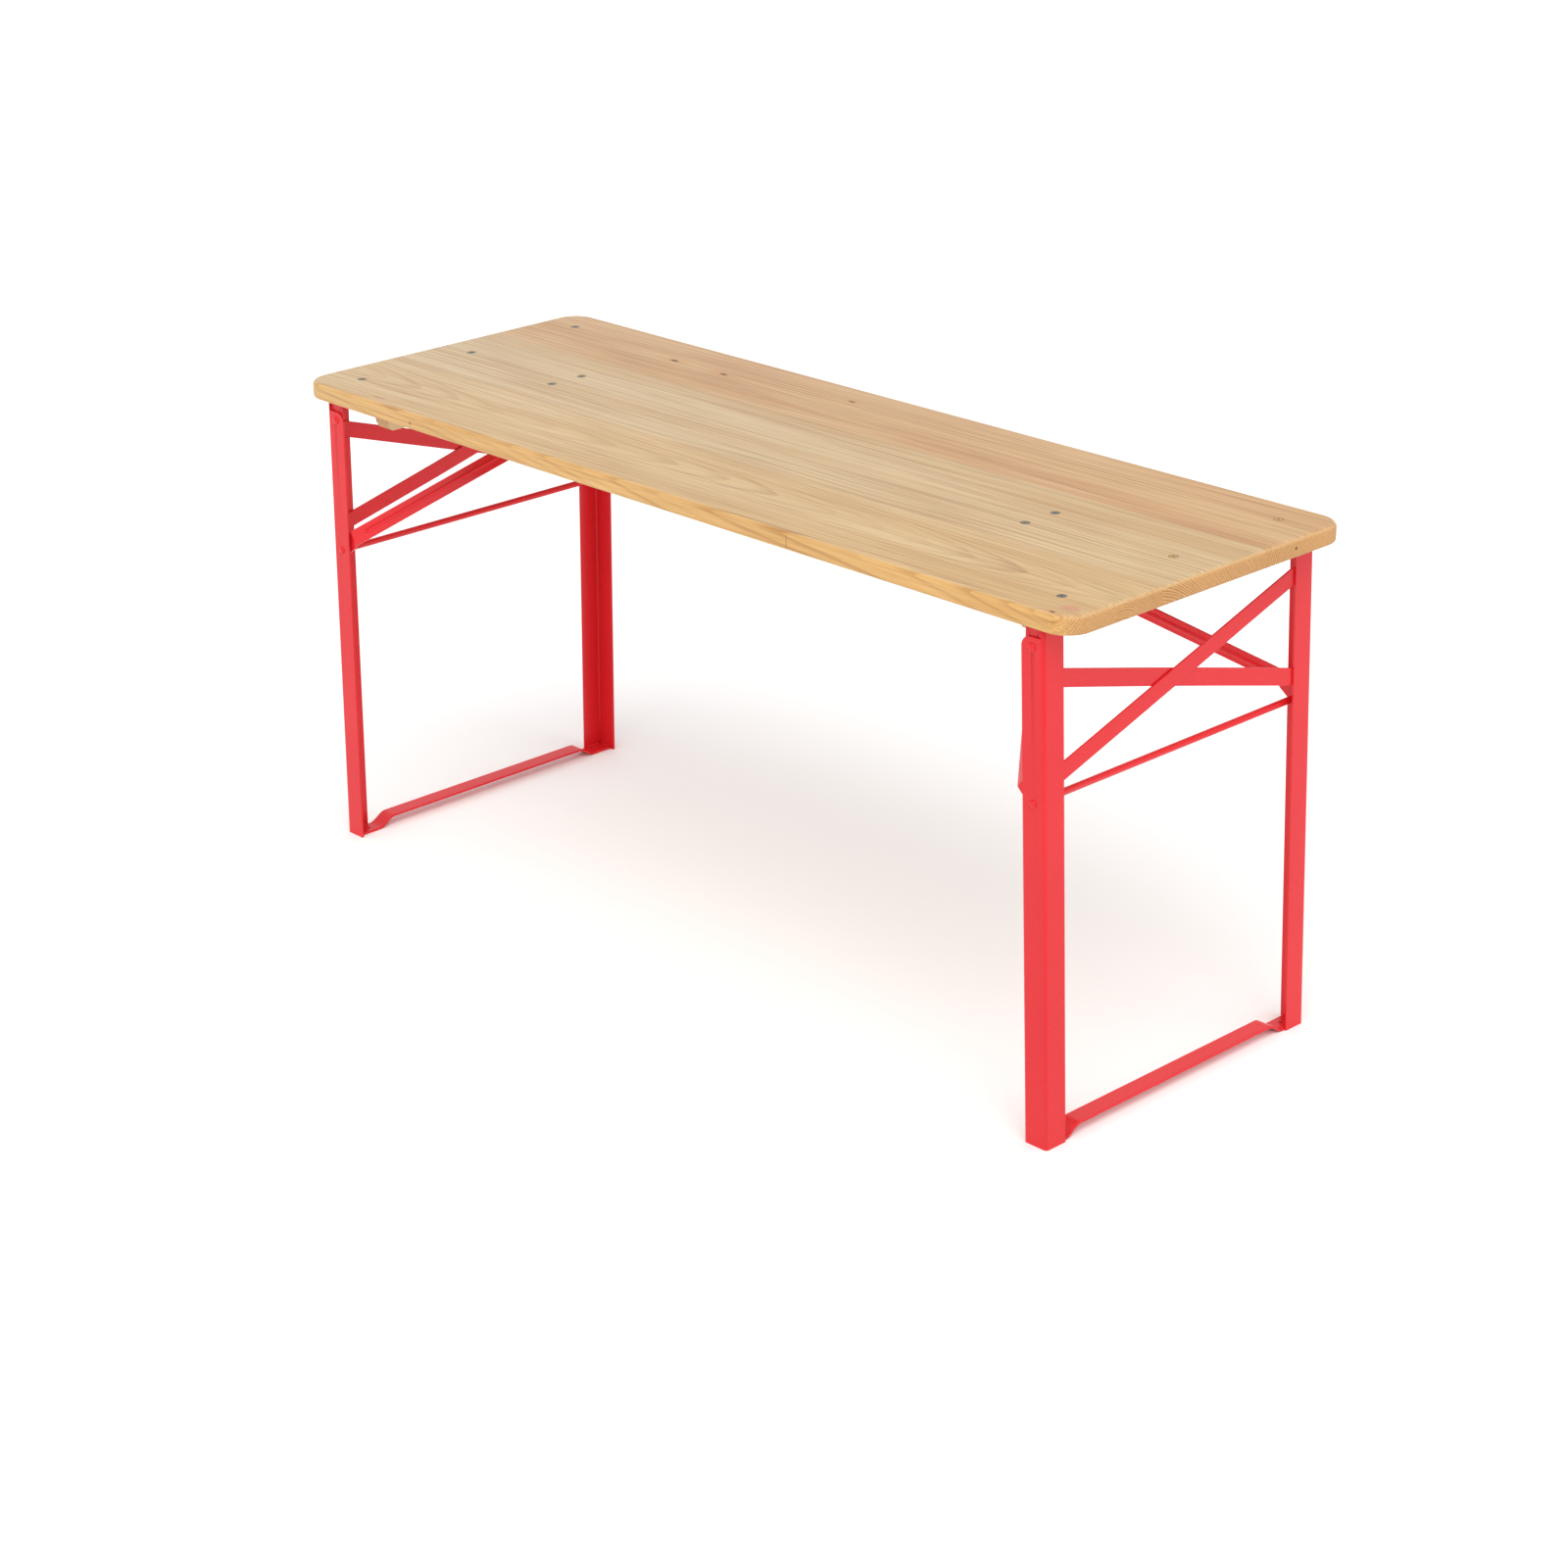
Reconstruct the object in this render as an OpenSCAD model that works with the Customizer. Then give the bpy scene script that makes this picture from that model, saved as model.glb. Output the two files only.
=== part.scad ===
// Folding picnic table: a solid wood top on two folding steel leg frames.
// X runs along the table, Y across it and Z up. The origin is on the floor, under the
// middle of the top. Every right-hand piece is drawn once, and mirrored or turned round to
// make the left-hand one.

/* [Tabletop] */
// Length of the top
top_len = 1600; // [1560:10:1700]
// Width of the top
top_wid = 560; // [556:2:600]
// Thickness of the top
top_t = 27; // [25:1:30]
// Height of the table
table_h = 760; // [740:5:780]
// Width of the middle board; the two outer boards share the rest
mid_board_w = 210; // [180:10:240]
// Corner radius seen from above
corner_r = 40; // [30:1:50]
// Rounding of the upper edge
edge_r = 8; // [5:1:10]
// Rounding of the lower edge
under_r = 4; // [2:1:5]

/* [Cleats] */
// Distance from the centre to the near face of a cleat
cleat_x = 650; // [640:1:655]
// Width of a cleat
cleat_w = 34; // [28:1:36]
// Depth of a cleat below the top
cleat_t = 38.5; // [30:0.5:38.5]
// Half the length of a cleat
cleat_half = 226; // [215:1:232]
// Sideways offset of a cleat; the other end's cleat is turned round
cleat_shift = 10; // [0:1:12]

/* [Legs] */
// Distance from the centre to the fold pivots
hinge_x = 730; // [725:1:735]
// Depth of the fold pivots below the top
hinge_drop = 28; // [27:1:30]
// Outward lean of the legs in degrees
lean = 1.65; // [1:0.05:2.5]
// Half the width over the legs
leg_y = 272; // [270:1:274]
// Width of a flange of the angle steel
flange = 38; // [36:1:40]
// Thickness of the angle steel
steel = 3; // [2.5:0.5:3]
// Width of a cross brace
brace_w = 25; // [22:1:27]
// Distance from the fold pivot down to the pivot rod
rod_drop = 213; // [210:1:216]
// Diameter of the pivot rod
rod_d = 10; // [9:1:10]

/* [Struts] */
// Distance from the centre to the caught pin
catch_x = 484; // [482:1:486]
// Depth of the caught pin below the top
catch_drop = 26; // [25:1:27]
// Width of a strut arm
arm_w = 25; // [23:1:26]

/* [Foot rail] */
// Width of the foot rail
rail_w = 28; // [24:1:30]
// Thickness of the foot rail
rail_t = 4; // [3:1:5]
// Lift of the raised middle
rail_lift = 14; // [10:1:20]
// Distance from the centre to the floor holes, across the table
floor_hole_y = 245; // [243:1:250]

/* [Hidden] */
$fn = 48;

under_z = table_h - top_t;
hinge_z = under_z - hinge_drop;
catch_z = under_z - catch_drop;
board_y = mid_board_w / 2;
running_gap = 0.06;
open_gap = 0.4;
bend_r = 5;

// Places along a leg, measured from the fold pivot with the leg upright
face_x = 20;
flange_a_x = face_x - flange;
flange_a_top = 13.5;
flange_b_top = 25;
brace_in = leg_y - steel - 2.5;

// Rod and strut, in the plane of the fold
rod_x = hinge_x + rod_drop * sin(lean);
rod_z = hinge_z - rod_drop * cos(lean);
rod_r = rod_d / 2;
strut_run = rod_x - catch_x;
strut_rise = catch_z - rod_z;
strut_angle = atan2(strut_rise, strut_run);
strut_len = sqrt(strut_run * strut_run + strut_rise * strut_rise);
arm_mid = 2;
arm_low = arm_mid - arm_w / 2;
arm_high = arm_mid + arm_w / 2;
pin_r = 4;

// Strut arm seen along the strut: the tab, the long web and the tip
arm_gap = 3;
tip_run = 34;
tab_y = leg_y - steel - arm_gap - steel;
fold_u = 34;
tip_u = strut_len - tip_run;
tip_y = 17;
web_angle = atan2(tab_y - tip_y, tip_u - fold_u);
web_len = (tip_u - fold_u) / cos(web_angle);

// Catch bracket: two cheeks with outward flanges, joined by a web at the far end
cheek_y = 9;
cheek_near_x = 458;
cheek_far_x = 530;
web_h = 29;
catch_bolt_x = 495;
catch_bolt_y = 30;
latch_x = 500;
latch_z = under_z - 12;
latch_r = 2.5;
exit_slope = 19.5;
clip_x = hinge_x - rod_drop;
clip_z = hinge_z;
spring_x = 486;

// Fasteners
strap_w = 28;
strap_bolt_y = 217;
bolt_r = 3;
rivet_r = 4;
head_r = 6.5;
head_h = 3.5;
bolt_reach = 8;
nut_h = 5;
cleat_screw_y = 180;
floor_hole_r = 3.5;

rail_out = 16.8;
rail_end_y = leg_y - steel - 1;
rail_x = hinge_x + hinge_z * tan(lean) + rail_out - rail_w;

wood = [0.86, 0.70, 0.49];
pale_wood = [0.88, 0.76, 0.58];
red = [0.88, 0.17, 0.20];
zinc = [0.72, 0.66, 0.50];

module both_sides_y() {
    children();
    mirror([0, 1, 0]) children();
}

module left() { mirror([1, 0, 0]) children(); }

module rear() { mirror([0, 1, 0]) children(); }

module turned() { rotate([0, 0, 180]) children(); }

// Places a piece drawn on an upright leg onto the leaning leg
module leaning() { translate([hinge_x, 0, hinge_z]) rotate([0, -lean, 0]) children(); }

// Places a piece drawn along +X from the pivot rod onto the raised strut
module raised() {
    translate([rod_x, 0, rod_z]) rotate([0, strut_angle, 0]) mirror([1, 0, 0]) children();
}

// Cylinder along Y, centred on y
module bar_y(r, y, len) {
    translate([0, y, 0]) rotate([90, 0, 0]) cylinder(r = r, h = len, center = true);
}

// ---------- Tabletop ----------

// Cross-section of the outer edge, from the corner centre outward
module edge_section() {
    square([corner_r - edge_r, top_t]);
    translate([0, under_r]) square([corner_r, top_t - edge_r - under_r]);
    square([corner_r - under_r, top_t / 2]);
    translate([corner_r - edge_r, top_t - edge_r]) circle(edge_r);
    translate([corner_r - under_r, under_r]) circle(under_r);
}

module top_slab() {
    in_x = top_len / 2 - corner_r;
    in_y = top_wid / 2 - corner_r;
    translate([0, 0, under_z]) {
        translate([-in_x, -in_y, 0]) cube([2 * in_x, 2 * in_y, top_t]);
        for (a = [0, 180]) rotate([0, 0, a]) {
            translate([in_x, in_y, 0]) rotate([90, 0, 0]) linear_extrude(2 * in_y) edge_section();
            translate([-in_x, in_y, 0]) rotate([90, 0, 90]) linear_extrude(2 * in_x) edge_section();
            translate([in_x, in_y, 0]) rotate_extrude(angle = 90) edge_section();
            translate([in_x, -in_y, 0]) rotate([0, 0, -90]) rotate_extrude(angle = 90) edge_section();
        }
    }
}

// A countersunk bolt or screw, head up at z = 0
module countersunk(r, head, head_len, len) {
    translate([0, 0, -len]) cylinder(r = r, h = len);
    translate([0, 0, -head_len]) cylinder(r1 = r, r2 = head, h = head_len);
}

module at_strap_bolts() {
    for (x = [-hinge_x, hinge_x], y = [-strap_bolt_y, 0, strap_bolt_y]) translate([x, y, 0]) children();
}

module at_catch_bolts() {
    for (x = [-catch_bolt_x, catch_bolt_x], y = [-catch_bolt_y, catch_bolt_y])
        translate([x, y, 0]) children();
}

module at_cleat_screws() {
    for (a = [0, 180], y = [-cleat_screw_y, 0, cleat_screw_y]) rotate([0, 0, a])
        translate([cleat_x + cleat_w / 2, cleat_shift + y, under_z - cleat_t]) children();
}

module cleat_screw() { mirror([0, 0, 1]) countersunk(2.2, 4.2, 2.6, cleat_t + 18); }

// One board of the top, between two distances from the centre line
module board(y0, y1) {
    color(wood) difference() {
        intersection() {
            top_slab();
            translate([-top_len, y0, under_z - 1]) cube([2 * top_len, y1 - y0, top_t + 2]);
        }
        translate([0, 0, table_h]) {
            at_strap_bolts() countersunk(bolt_r, head_r, head_h, top_t + 1);
            at_catch_bolts() countersunk(bolt_r, head_r, head_h, top_t + 1);
        }
        at_cleat_screws() cleat_screw();
    }
}

module front_board() { board(-top_wid / 2 - 1, -board_y); }

module middle_board() { board(-board_y, board_y); }

module rear_board() { board(board_y, top_wid / 2 + 1); }

// Wooden batten across the underside, its ends cut back and eased at the bottom
module end_cleat() {
    cut_back = 7;
    ease_y = 6;
    ease_z = 9;
    color(pale_wood) difference() {
        translate([cleat_x, cleat_shift, under_z]) rotate([90, 0, 90]) linear_extrude(cleat_w)
            polygon([
                [-cleat_half, 0], [-cleat_half + cut_back, ease_z - cleat_t],
                [-cleat_half + cut_back + ease_y, -cleat_t],
                [cleat_half - cut_back - ease_y, -cleat_t],
                [cleat_half - cut_back, ease_z - cleat_t], [cleat_half, 0]
            ]);
        at_cleat_screws() cleat_screw();
    }
}

module cleat_screws() { color(zinc) at_cleat_screws() cleat_screw(); }

// ---------- Fold hinges ----------

// Steel strap across the end with an ear bent down beside each leg
module hinge_strap() {
    ear_y = leg_y - steel - open_gap;
    ear_r = 12;
    color(red) difference() {
        union() {
            translate([hinge_x - strap_w / 2, -ear_y, under_z - steel])
                cube([strap_w, 2 * ear_y, steel]);
            both_sides_y() translate([hinge_x, -ear_y, hinge_z]) {
                translate([-strap_w / 2, 0, 4]) cube([strap_w, steel, hinge_drop - 4]);
                translate([-ear_r, 0, 0]) cube([2 * ear_r, steel, hinge_drop]);
                translate([0, steel / 2, 0]) bar_y(ear_r, 0, steel);
            }
        }
        translate([hinge_x, 0, hinge_z]) bar_y(rivet_r + running_gap, 0, 2 * leg_y);
        translate([0, 0, table_h]) at_strap_bolts() cylinder(r = bolt_r, h = 99, center = true);
    }
}

module strap_bolts() {
    color(zinc) translate([0, 0, table_h]) at_strap_bolts()
        countersunk(bolt_r, head_r, head_h, top_t + steel + bolt_reach);
}

// Hexagon nut below a plate on the underside
module nut() {
    translate([0, 0, under_z - steel - nut_h]) difference() {
        cylinder(r = 5.8, h = nut_h, $fn = 6);
        translate([0, 0, -1]) cylinder(r = bolt_r, h = nut_h + 2);
    }
}

module strap_nuts() { color(zinc) at_strap_bolts() nut(); }

// ---------- Catch for the strut ----------

// Side view of a cheek, with the strut pin's hook and the clip for the folded rod
module cheek_outline() {
    difference() {
        polygon([
            [cheek_near_x, under_z], [cheek_far_x, under_z], [cheek_far_x, under_z - web_h],
            [527, under_z - 32],
            [505, under_z - 32], [496, under_z - 40], [480, under_z - 45], [467, under_z - 45],
            [462, under_z - 41], [cheek_near_x, under_z - 36]
        ]);
        translate([catch_x, catch_z]) {
            circle(pin_r + 0.5);
            rotate(exit_slope) translate([-60, -pin_r - 0.9]) square([60, 2 * pin_r + 1.8]);
        }
        translate([clip_x, clip_z]) {
            circle(rod_r + 0.6);
            translate([-rod_r - 0.6, -20]) square([2 * rod_r + 1.2, 20]);
        }
        translate([latch_x, latch_z]) circle(latch_r);
    }
}

module catch_bracket() {
    flange_y = 42;
    color(red) difference() {
        both_sides_y() {
            translate([0, cheek_y + steel, 0]) rotate([90, 0, 0]) linear_extrude(steel) cheek_outline();
            translate([cheek_near_x, cheek_y, under_z - steel])
                cube([cheek_far_x - cheek_near_x, flange_y - cheek_y, steel]);
            // Half of the web that joins the cheeks behind the clip
            translate([cheek_far_x - steel, 0, under_z - web_h]) cube([steel, cheek_y + 1, web_h]);
        }
        translate([0, 0, table_h]) at_catch_bolts() cylinder(r = bolt_r, h = 99, center = true);
    }
}

module catch_bolts() {
    color(zinc) translate([0, 0, table_h]) at_catch_bolts()
        countersunk(bolt_r, head_r, head_h, top_t + steel + bolt_reach);
}

module catch_nuts() { color(zinc) at_catch_bolts() nut(); }

// Sprung lever between the cheeks; its nose hooks over the strut pin
module latch_lever() {
    lever_y = cheek_y - 0.5;
    color(red) translate([latch_x, lever_y, latch_z]) rotate([90, 0, 0]) linear_extrude(2 * lever_y)
        difference() {
            union() {
                circle(6);
                polygon([
                    [0, 4], [-27, 1], [-40, -2], [-62, -8], [-68, -12], [-66, -14],
                    [-60, -11], [-33, -6.5], [-28.5, -11.5], [-24, -11.5], [-22, -5], [0, -6]
                ]);
            }
            circle(latch_r + running_gap);
        }
}

module latch_pins() {
    color(zinc) for (s = [-1, 1]) translate([s * latch_x, 0, latch_z]) {
        bar_y(latch_r, 0, 2 * cheek_y + 2 * steel + 2);
        both_sides_y() bar_y(4, cheek_y + steel + 1, 2);
    }
}

// Small coil spring between the top and the lever
module latch_spring() {
    wire_r = 0.6;
    coil_r = 3.2;
    turns = 4;
    steps = 12;
    sides = 6;
    height = 7.9;
    rings = turns * steps;
    function centre(i) = [
        coil_r * cos(i * 360 / steps), coil_r * sin(i * 360 / steps), wire_r + height * i / rings
    ];
    function ring(i) = [
        for (k = [0:sides - 1])
            let (a = k * 360 / sides, b = i * 360 / steps)
            centre(i) + wire_r * [cos(a) * cos(b), cos(a) * sin(b), sin(a)]
    ];
    points = [for (i = [0:rings]) each ring(i)];
    walls = [
        for (i = [0:rings - 1], k = [0:sides - 1])
            let (n = (k + 1) % sides)
            [i * sides + k, i * sides + n, (i + 1) * sides + n, (i + 1) * sides + k]
    ];
    ends = [[for (k = [sides - 1:-1:0]) k], [for (k = [0:sides - 1]) rings * sides + k]];
    color(zinc) translate([spring_x, 0, under_z - height - 2 * wire_r])
        polyhedron(points, concat(walls, ends), convexity = 6);
}

// ---------- Leg frame ----------

// Angle section with its outer corner at the origin, legs along -X and +Y
module angle_section() {
    mirror([1, 0, 0]) difference() {
        union() {
            translate([bend_r, 0]) square([flange - bend_r, flange]);
            translate([0, bend_r]) square([flange, flange - bend_r]);
            translate([bend_r, bend_r]) circle(bend_r);
        }
        translate([bend_r, steel]) square([flange, flange]);
        translate([steel, bend_r]) square([flange, flange]);
        translate([bend_r, bend_r]) circle(bend_r - steel);
    }
}

// Front leg of the right-hand frame
module leg() {
    top_r = 14;
    color(red) difference() {
        leaning() difference() {
            translate([face_x, -leg_y, -hinge_z - 10])
                linear_extrude(hinge_z + 10 + flange_b_top) angle_section();
            // The hinge flange stops short of the top, with a rounded inner corner
            translate([flange_a_x - 1, -leg_y - 1, flange_a_top])
                cube([flange - bend_r + 1, steel + 2, 20]);
            translate([flange_a_x, -leg_y + steel + 1, flange_a_top]) rotate([90, 0, 0])
                linear_extrude(steel + 2) difference() {
                    translate([-1, -top_r]) square([top_r + 1, top_r + 1]);
                    translate([top_r, -top_r]) circle(top_r);
                }
            bar_y(rivet_r, -leg_y, 4 * steel);
            translate([0, 0, -rod_drop]) bar_y(rod_r, -leg_y, 4 * steel);
        }
        translate([0, -2 * top_wid, -50]) cube([top_len, 4 * top_wid, 50]);
    }
}

// Domed rivet head standing on a face, along +Y
module rivet_head(r, h) {
    ball_r = (r * r + h * h) / (2 * h);
    rotate([-90, 0, 0]) intersection() {
        cylinder(r = r, h = h);
        translate([0, 0, h - ball_r]) sphere(ball_r);
    }
}

// Pivot rivets of one leg frame, heads outside the flange and inside the ear
module hinge_rivets() {
    inner_y = leg_y - 2 * steel - 2 * open_gap;
    color(red) both_sides_y() leaning() {
        translate([0, leg_y, 0]) rivet_head(7, 3.5);
        bar_y(rivet_r, (leg_y + inner_y) / 2, leg_y - inner_y);
        translate([0, inner_y, 0]) mirror([0, 1, 0]) rivet_head(6.5, 3);
    }
}

// Round rod between the legs, its ends peened over outside the flanges
module pivot_rod() {
    color(red) leaning() translate([0, 0, -rod_drop]) {
        bar_y(rod_r, 0, 2 * leg_y);
        both_sides_y() translate([0, leg_y, 0]) rivet_head(6.5, 3.5);
    }
}

// Flat cross brace, low on the front leg and high on the rear one, where it meets them.
// step sets the middle inward, by a long shallow joggle, so that it clears the other brace.
module brace(low, high, step) {
    tilt = atan2(high - low, 2 * (leg_y - flange));
    half = leg_y / cos(tilt);
    slope_in = 240;
    slope_out = 70;
    inner = face_x - steel;
    color(red) leaning() intersection() {
        translate([inner, 0, (low + high) / 2]) rotate([tilt, 0, 0])
            translate([0, 0, -brace_w / 2]) linear_extrude(brace_w)
                polygon([
                    [0, -half], [0, -slope_in], [-step, -slope_out], [-step, slope_out],
                    [0, slope_in], [0, half], [-steel, half], [-steel, slope_in],
                    [-steel - step, slope_out], [-steel - step, -slope_out],
                    [-steel, -slope_in], [-steel, -half]
                ]);
        translate([-flange, -brace_in, -hinge_z]) cube([2 * flange, 2 * brace_in, hinge_z]);
    }
}

module straight_brace() { brace(-176, -26, 0); }

module joggled_brace() { rear() brace(-171, -47, steel); }

// Flat bar between the feet: flat on the floor at the legs and raised in the middle
module foot_rail() {
    flat_y = 230;
    raised_y = 200;
    steps = 10;
    function ease(t) = rail_lift * t * t * (3 - 2 * t);
    function rise(up) = [
        for (i = [0:steps]) [-flat_y + (flat_y - raised_y) * i / steps, ease(i / steps) + up]
    ];
    function fall(up) = [
        for (i = [steps:-1:0]) [flat_y - (flat_y - raised_y) * i / steps, ease(i / steps) + up]
    ];
    function back(line) = [for (i = [len(line) - 1:-1:0]) line[i]];
    lower = concat([[-rail_end_y, 0]], rise(0), fall(0), [[rail_end_y, 0]]);
    upper = concat([[-rail_end_y, rail_t]], rise(rail_t), fall(rail_t), [[rail_end_y, rail_t]]);
    color(red) difference() {
        translate([rail_x, 0, 0]) rotate([90, 0, 90]) linear_extrude(rail_w)
            polygon(concat(lower, back(upper)));
        both_sides_y() translate([rail_x + rail_w / 2, floor_hole_y, -1])
            cylinder(r = floor_hole_r, h = rail_t + 2);
    }
}

// ---------- Strut ----------

// Half section of a bead with domed ends, from its axis outward
module bead_profile(r, len) {
    square([r, len]);
    intersection() {
        union() {
            circle(r);
            translate([0, len]) circle(r);
        }
        translate([0, -r]) square([r, len + 2 * r]);
    }
}

// Bent plate of an arm seen along its width: tab, slanting web and tip
module arm_bends() {
    end = 20;
    turn = steel * tan(web_angle / 2);
    polygon([
        [-end, -tab_y - steel], [fold_u, -tab_y - steel], [tip_u, -tip_y - steel],
        [strut_len + end, -tip_y - steel], [strut_len + end, -tip_y],
        [tip_u - turn, -tip_y], [fold_u - turn, -tab_y], [-end, -tab_y]
    ]);
}

// Outline of an arm seen from the front, round the rod and round the pin
module arm_outline() {
    tab_r = 12;
    tip_r = 8.5;
    circle(tab_r);
    translate([strut_len, 0]) circle(tip_r);
    polygon([
        [0, 10], [fold_u - 8, arm_high], [strut_len - 6, arm_high], [strut_len + 2, 6],
        [strut_len, -6], [strut_len - 19, arm_low], [fold_u + 1, arm_low],
        [fold_u - 10, arm_low - 1], [2, -10]
    ]);
}

// Front arm of the right-hand strut: a tab on the rod, a beaded web and a tip on the pin
module strut_arm() {
    bead_r = 4;
    bead_end = 24;
    color(red) raised() difference() {
        union() {
            intersection() {
                translate([0, 0, -arm_w]) linear_extrude(3 * arm_w) arm_bends();
                rotate([90, 0, 0]) linear_extrude(leg_y) arm_outline();
            }
            translate([fold_u, -tab_y - steel, arm_mid]) rotate([0, 0, web_angle])
                translate([bead_end, 2, 0]) rotate([0, 90, 0])
                    rotate_extrude() bead_profile(bead_r, web_len - 2 * bead_end);
        }
        bar_y(rod_r + running_gap, -leg_y, 40);
        translate([strut_len, 0, 0]) bar_y(pin_r, 0, 99);
    }
}

// Pin through both strut tips, the piece that the catch holds
module strut_pin() {
    color(zinc) raised() translate([strut_len, 0, 0]) {
        bar_y(pin_r, 0, 2 * (tip_y + steel));
        both_sides_y() bar_y(6, tip_y + steel + 1, 2);
    }
}

// ---------- Assembly ----------

front_board();
middle_board();
rear_board();
turned() end_cleat();  // end_cleat_left
end_cleat();  // end_cleat_right
cleat_screws();
left() hinge_strap();  // hinge_strap_left
hinge_strap();  // hinge_strap_right
strap_bolts();
strap_nuts();
left() catch_bracket();  // catch_bracket_left
catch_bracket();  // catch_bracket_right
catch_bolts();
catch_nuts();
left() latch_lever();  // latch_lever_left
latch_lever();  // latch_lever_right
latch_pins();
left() latch_spring();  // latch_spring_left
latch_spring();  // latch_spring_right
left() leg();  // front_leg_left
left() rear() leg();  // rear_leg_left
leg();  // front_leg_right
rear() leg();  // rear_leg_right
turned() straight_brace();  // straight_brace_left
straight_brace();  // straight_brace_right
turned() joggled_brace();  // joggled_brace_left
joggled_brace();  // joggled_brace_right
left() pivot_rod();  // pivot_rod_left
pivot_rod();  // pivot_rod_right
left() hinge_rivets();  // hinge_rivets_left
hinge_rivets();  // hinge_rivets_right
left() foot_rail();  // foot_rail_left
foot_rail();  // foot_rail_right
left() strut_arm();  // front_strut_left
left() rear() strut_arm();  // rear_strut_left
strut_arm();  // front_strut_right
rear() strut_arm();  // rear_strut_right
left() strut_pin();  // strut_pin_left
strut_pin();  // strut_pin_right
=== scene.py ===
import math

import bmesh
import bpy
from mathutils import Matrix, Vector


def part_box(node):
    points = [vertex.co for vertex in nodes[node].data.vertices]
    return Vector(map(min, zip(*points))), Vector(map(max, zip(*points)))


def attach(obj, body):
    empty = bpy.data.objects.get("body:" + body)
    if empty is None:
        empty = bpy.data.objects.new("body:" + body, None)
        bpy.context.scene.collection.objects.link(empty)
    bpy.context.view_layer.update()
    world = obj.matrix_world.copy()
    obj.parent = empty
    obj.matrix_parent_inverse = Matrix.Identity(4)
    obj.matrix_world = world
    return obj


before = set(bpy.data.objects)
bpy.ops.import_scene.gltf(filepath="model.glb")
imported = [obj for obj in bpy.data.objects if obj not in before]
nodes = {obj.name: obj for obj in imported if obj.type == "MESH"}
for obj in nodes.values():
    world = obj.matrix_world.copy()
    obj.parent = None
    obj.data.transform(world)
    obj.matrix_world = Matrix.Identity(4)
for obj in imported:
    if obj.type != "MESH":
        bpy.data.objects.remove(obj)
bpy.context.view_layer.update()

TOP_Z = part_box("front_board")[1].z
UNDER_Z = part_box("front_board")[0].z
HALF_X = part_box("front_board")[1].x


# ---------- camera ----------

# fitted to the edges of the top, the legs, the feet and the bolts
CAMERA_PLACE = Vector((3.4532, -3.27, 2.19024))
CAMERA_DEGREES = (46.709, 22.43, -0.83)  # azimuth, elevation, roll
LENS_MM, SENSOR_MM = 78.246, 36
SIGHT = 60


def make_camera():
    azimuth, elevation, roll = (math.radians(a) for a in CAMERA_DEGREES)
    ahead = Vector((-math.sin(azimuth) * math.cos(elevation),
                    math.cos(azimuth) * math.cos(elevation), -math.sin(elevation)))
    right = ahead.cross(Vector((0, 0, 1))).normalized()
    up = right.cross(ahead)
    x_axis = right * math.cos(roll) + up * math.sin(roll)
    y_axis = -right * math.sin(roll) + up * math.cos(roll)
    data = bpy.data.cameras.new("camera")
    data.lens = LENS_MM
    data.sensor_width = SENSOR_MM
    data.clip_end = SIGHT
    camera = bpy.data.objects.new("camera", data)
    turn = Matrix((x_axis, y_axis, -ahead)).transposed().to_4x4()
    camera.matrix_world = Matrix.Translation(CAMERA_PLACE) @ turn
    bpy.context.collection.objects.link(camera)
    bpy.context.scene.camera = camera


make_camera()
bpy.context.scene.view_settings.view_transform = "Standard"


# ---------- node helpers ----------

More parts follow.
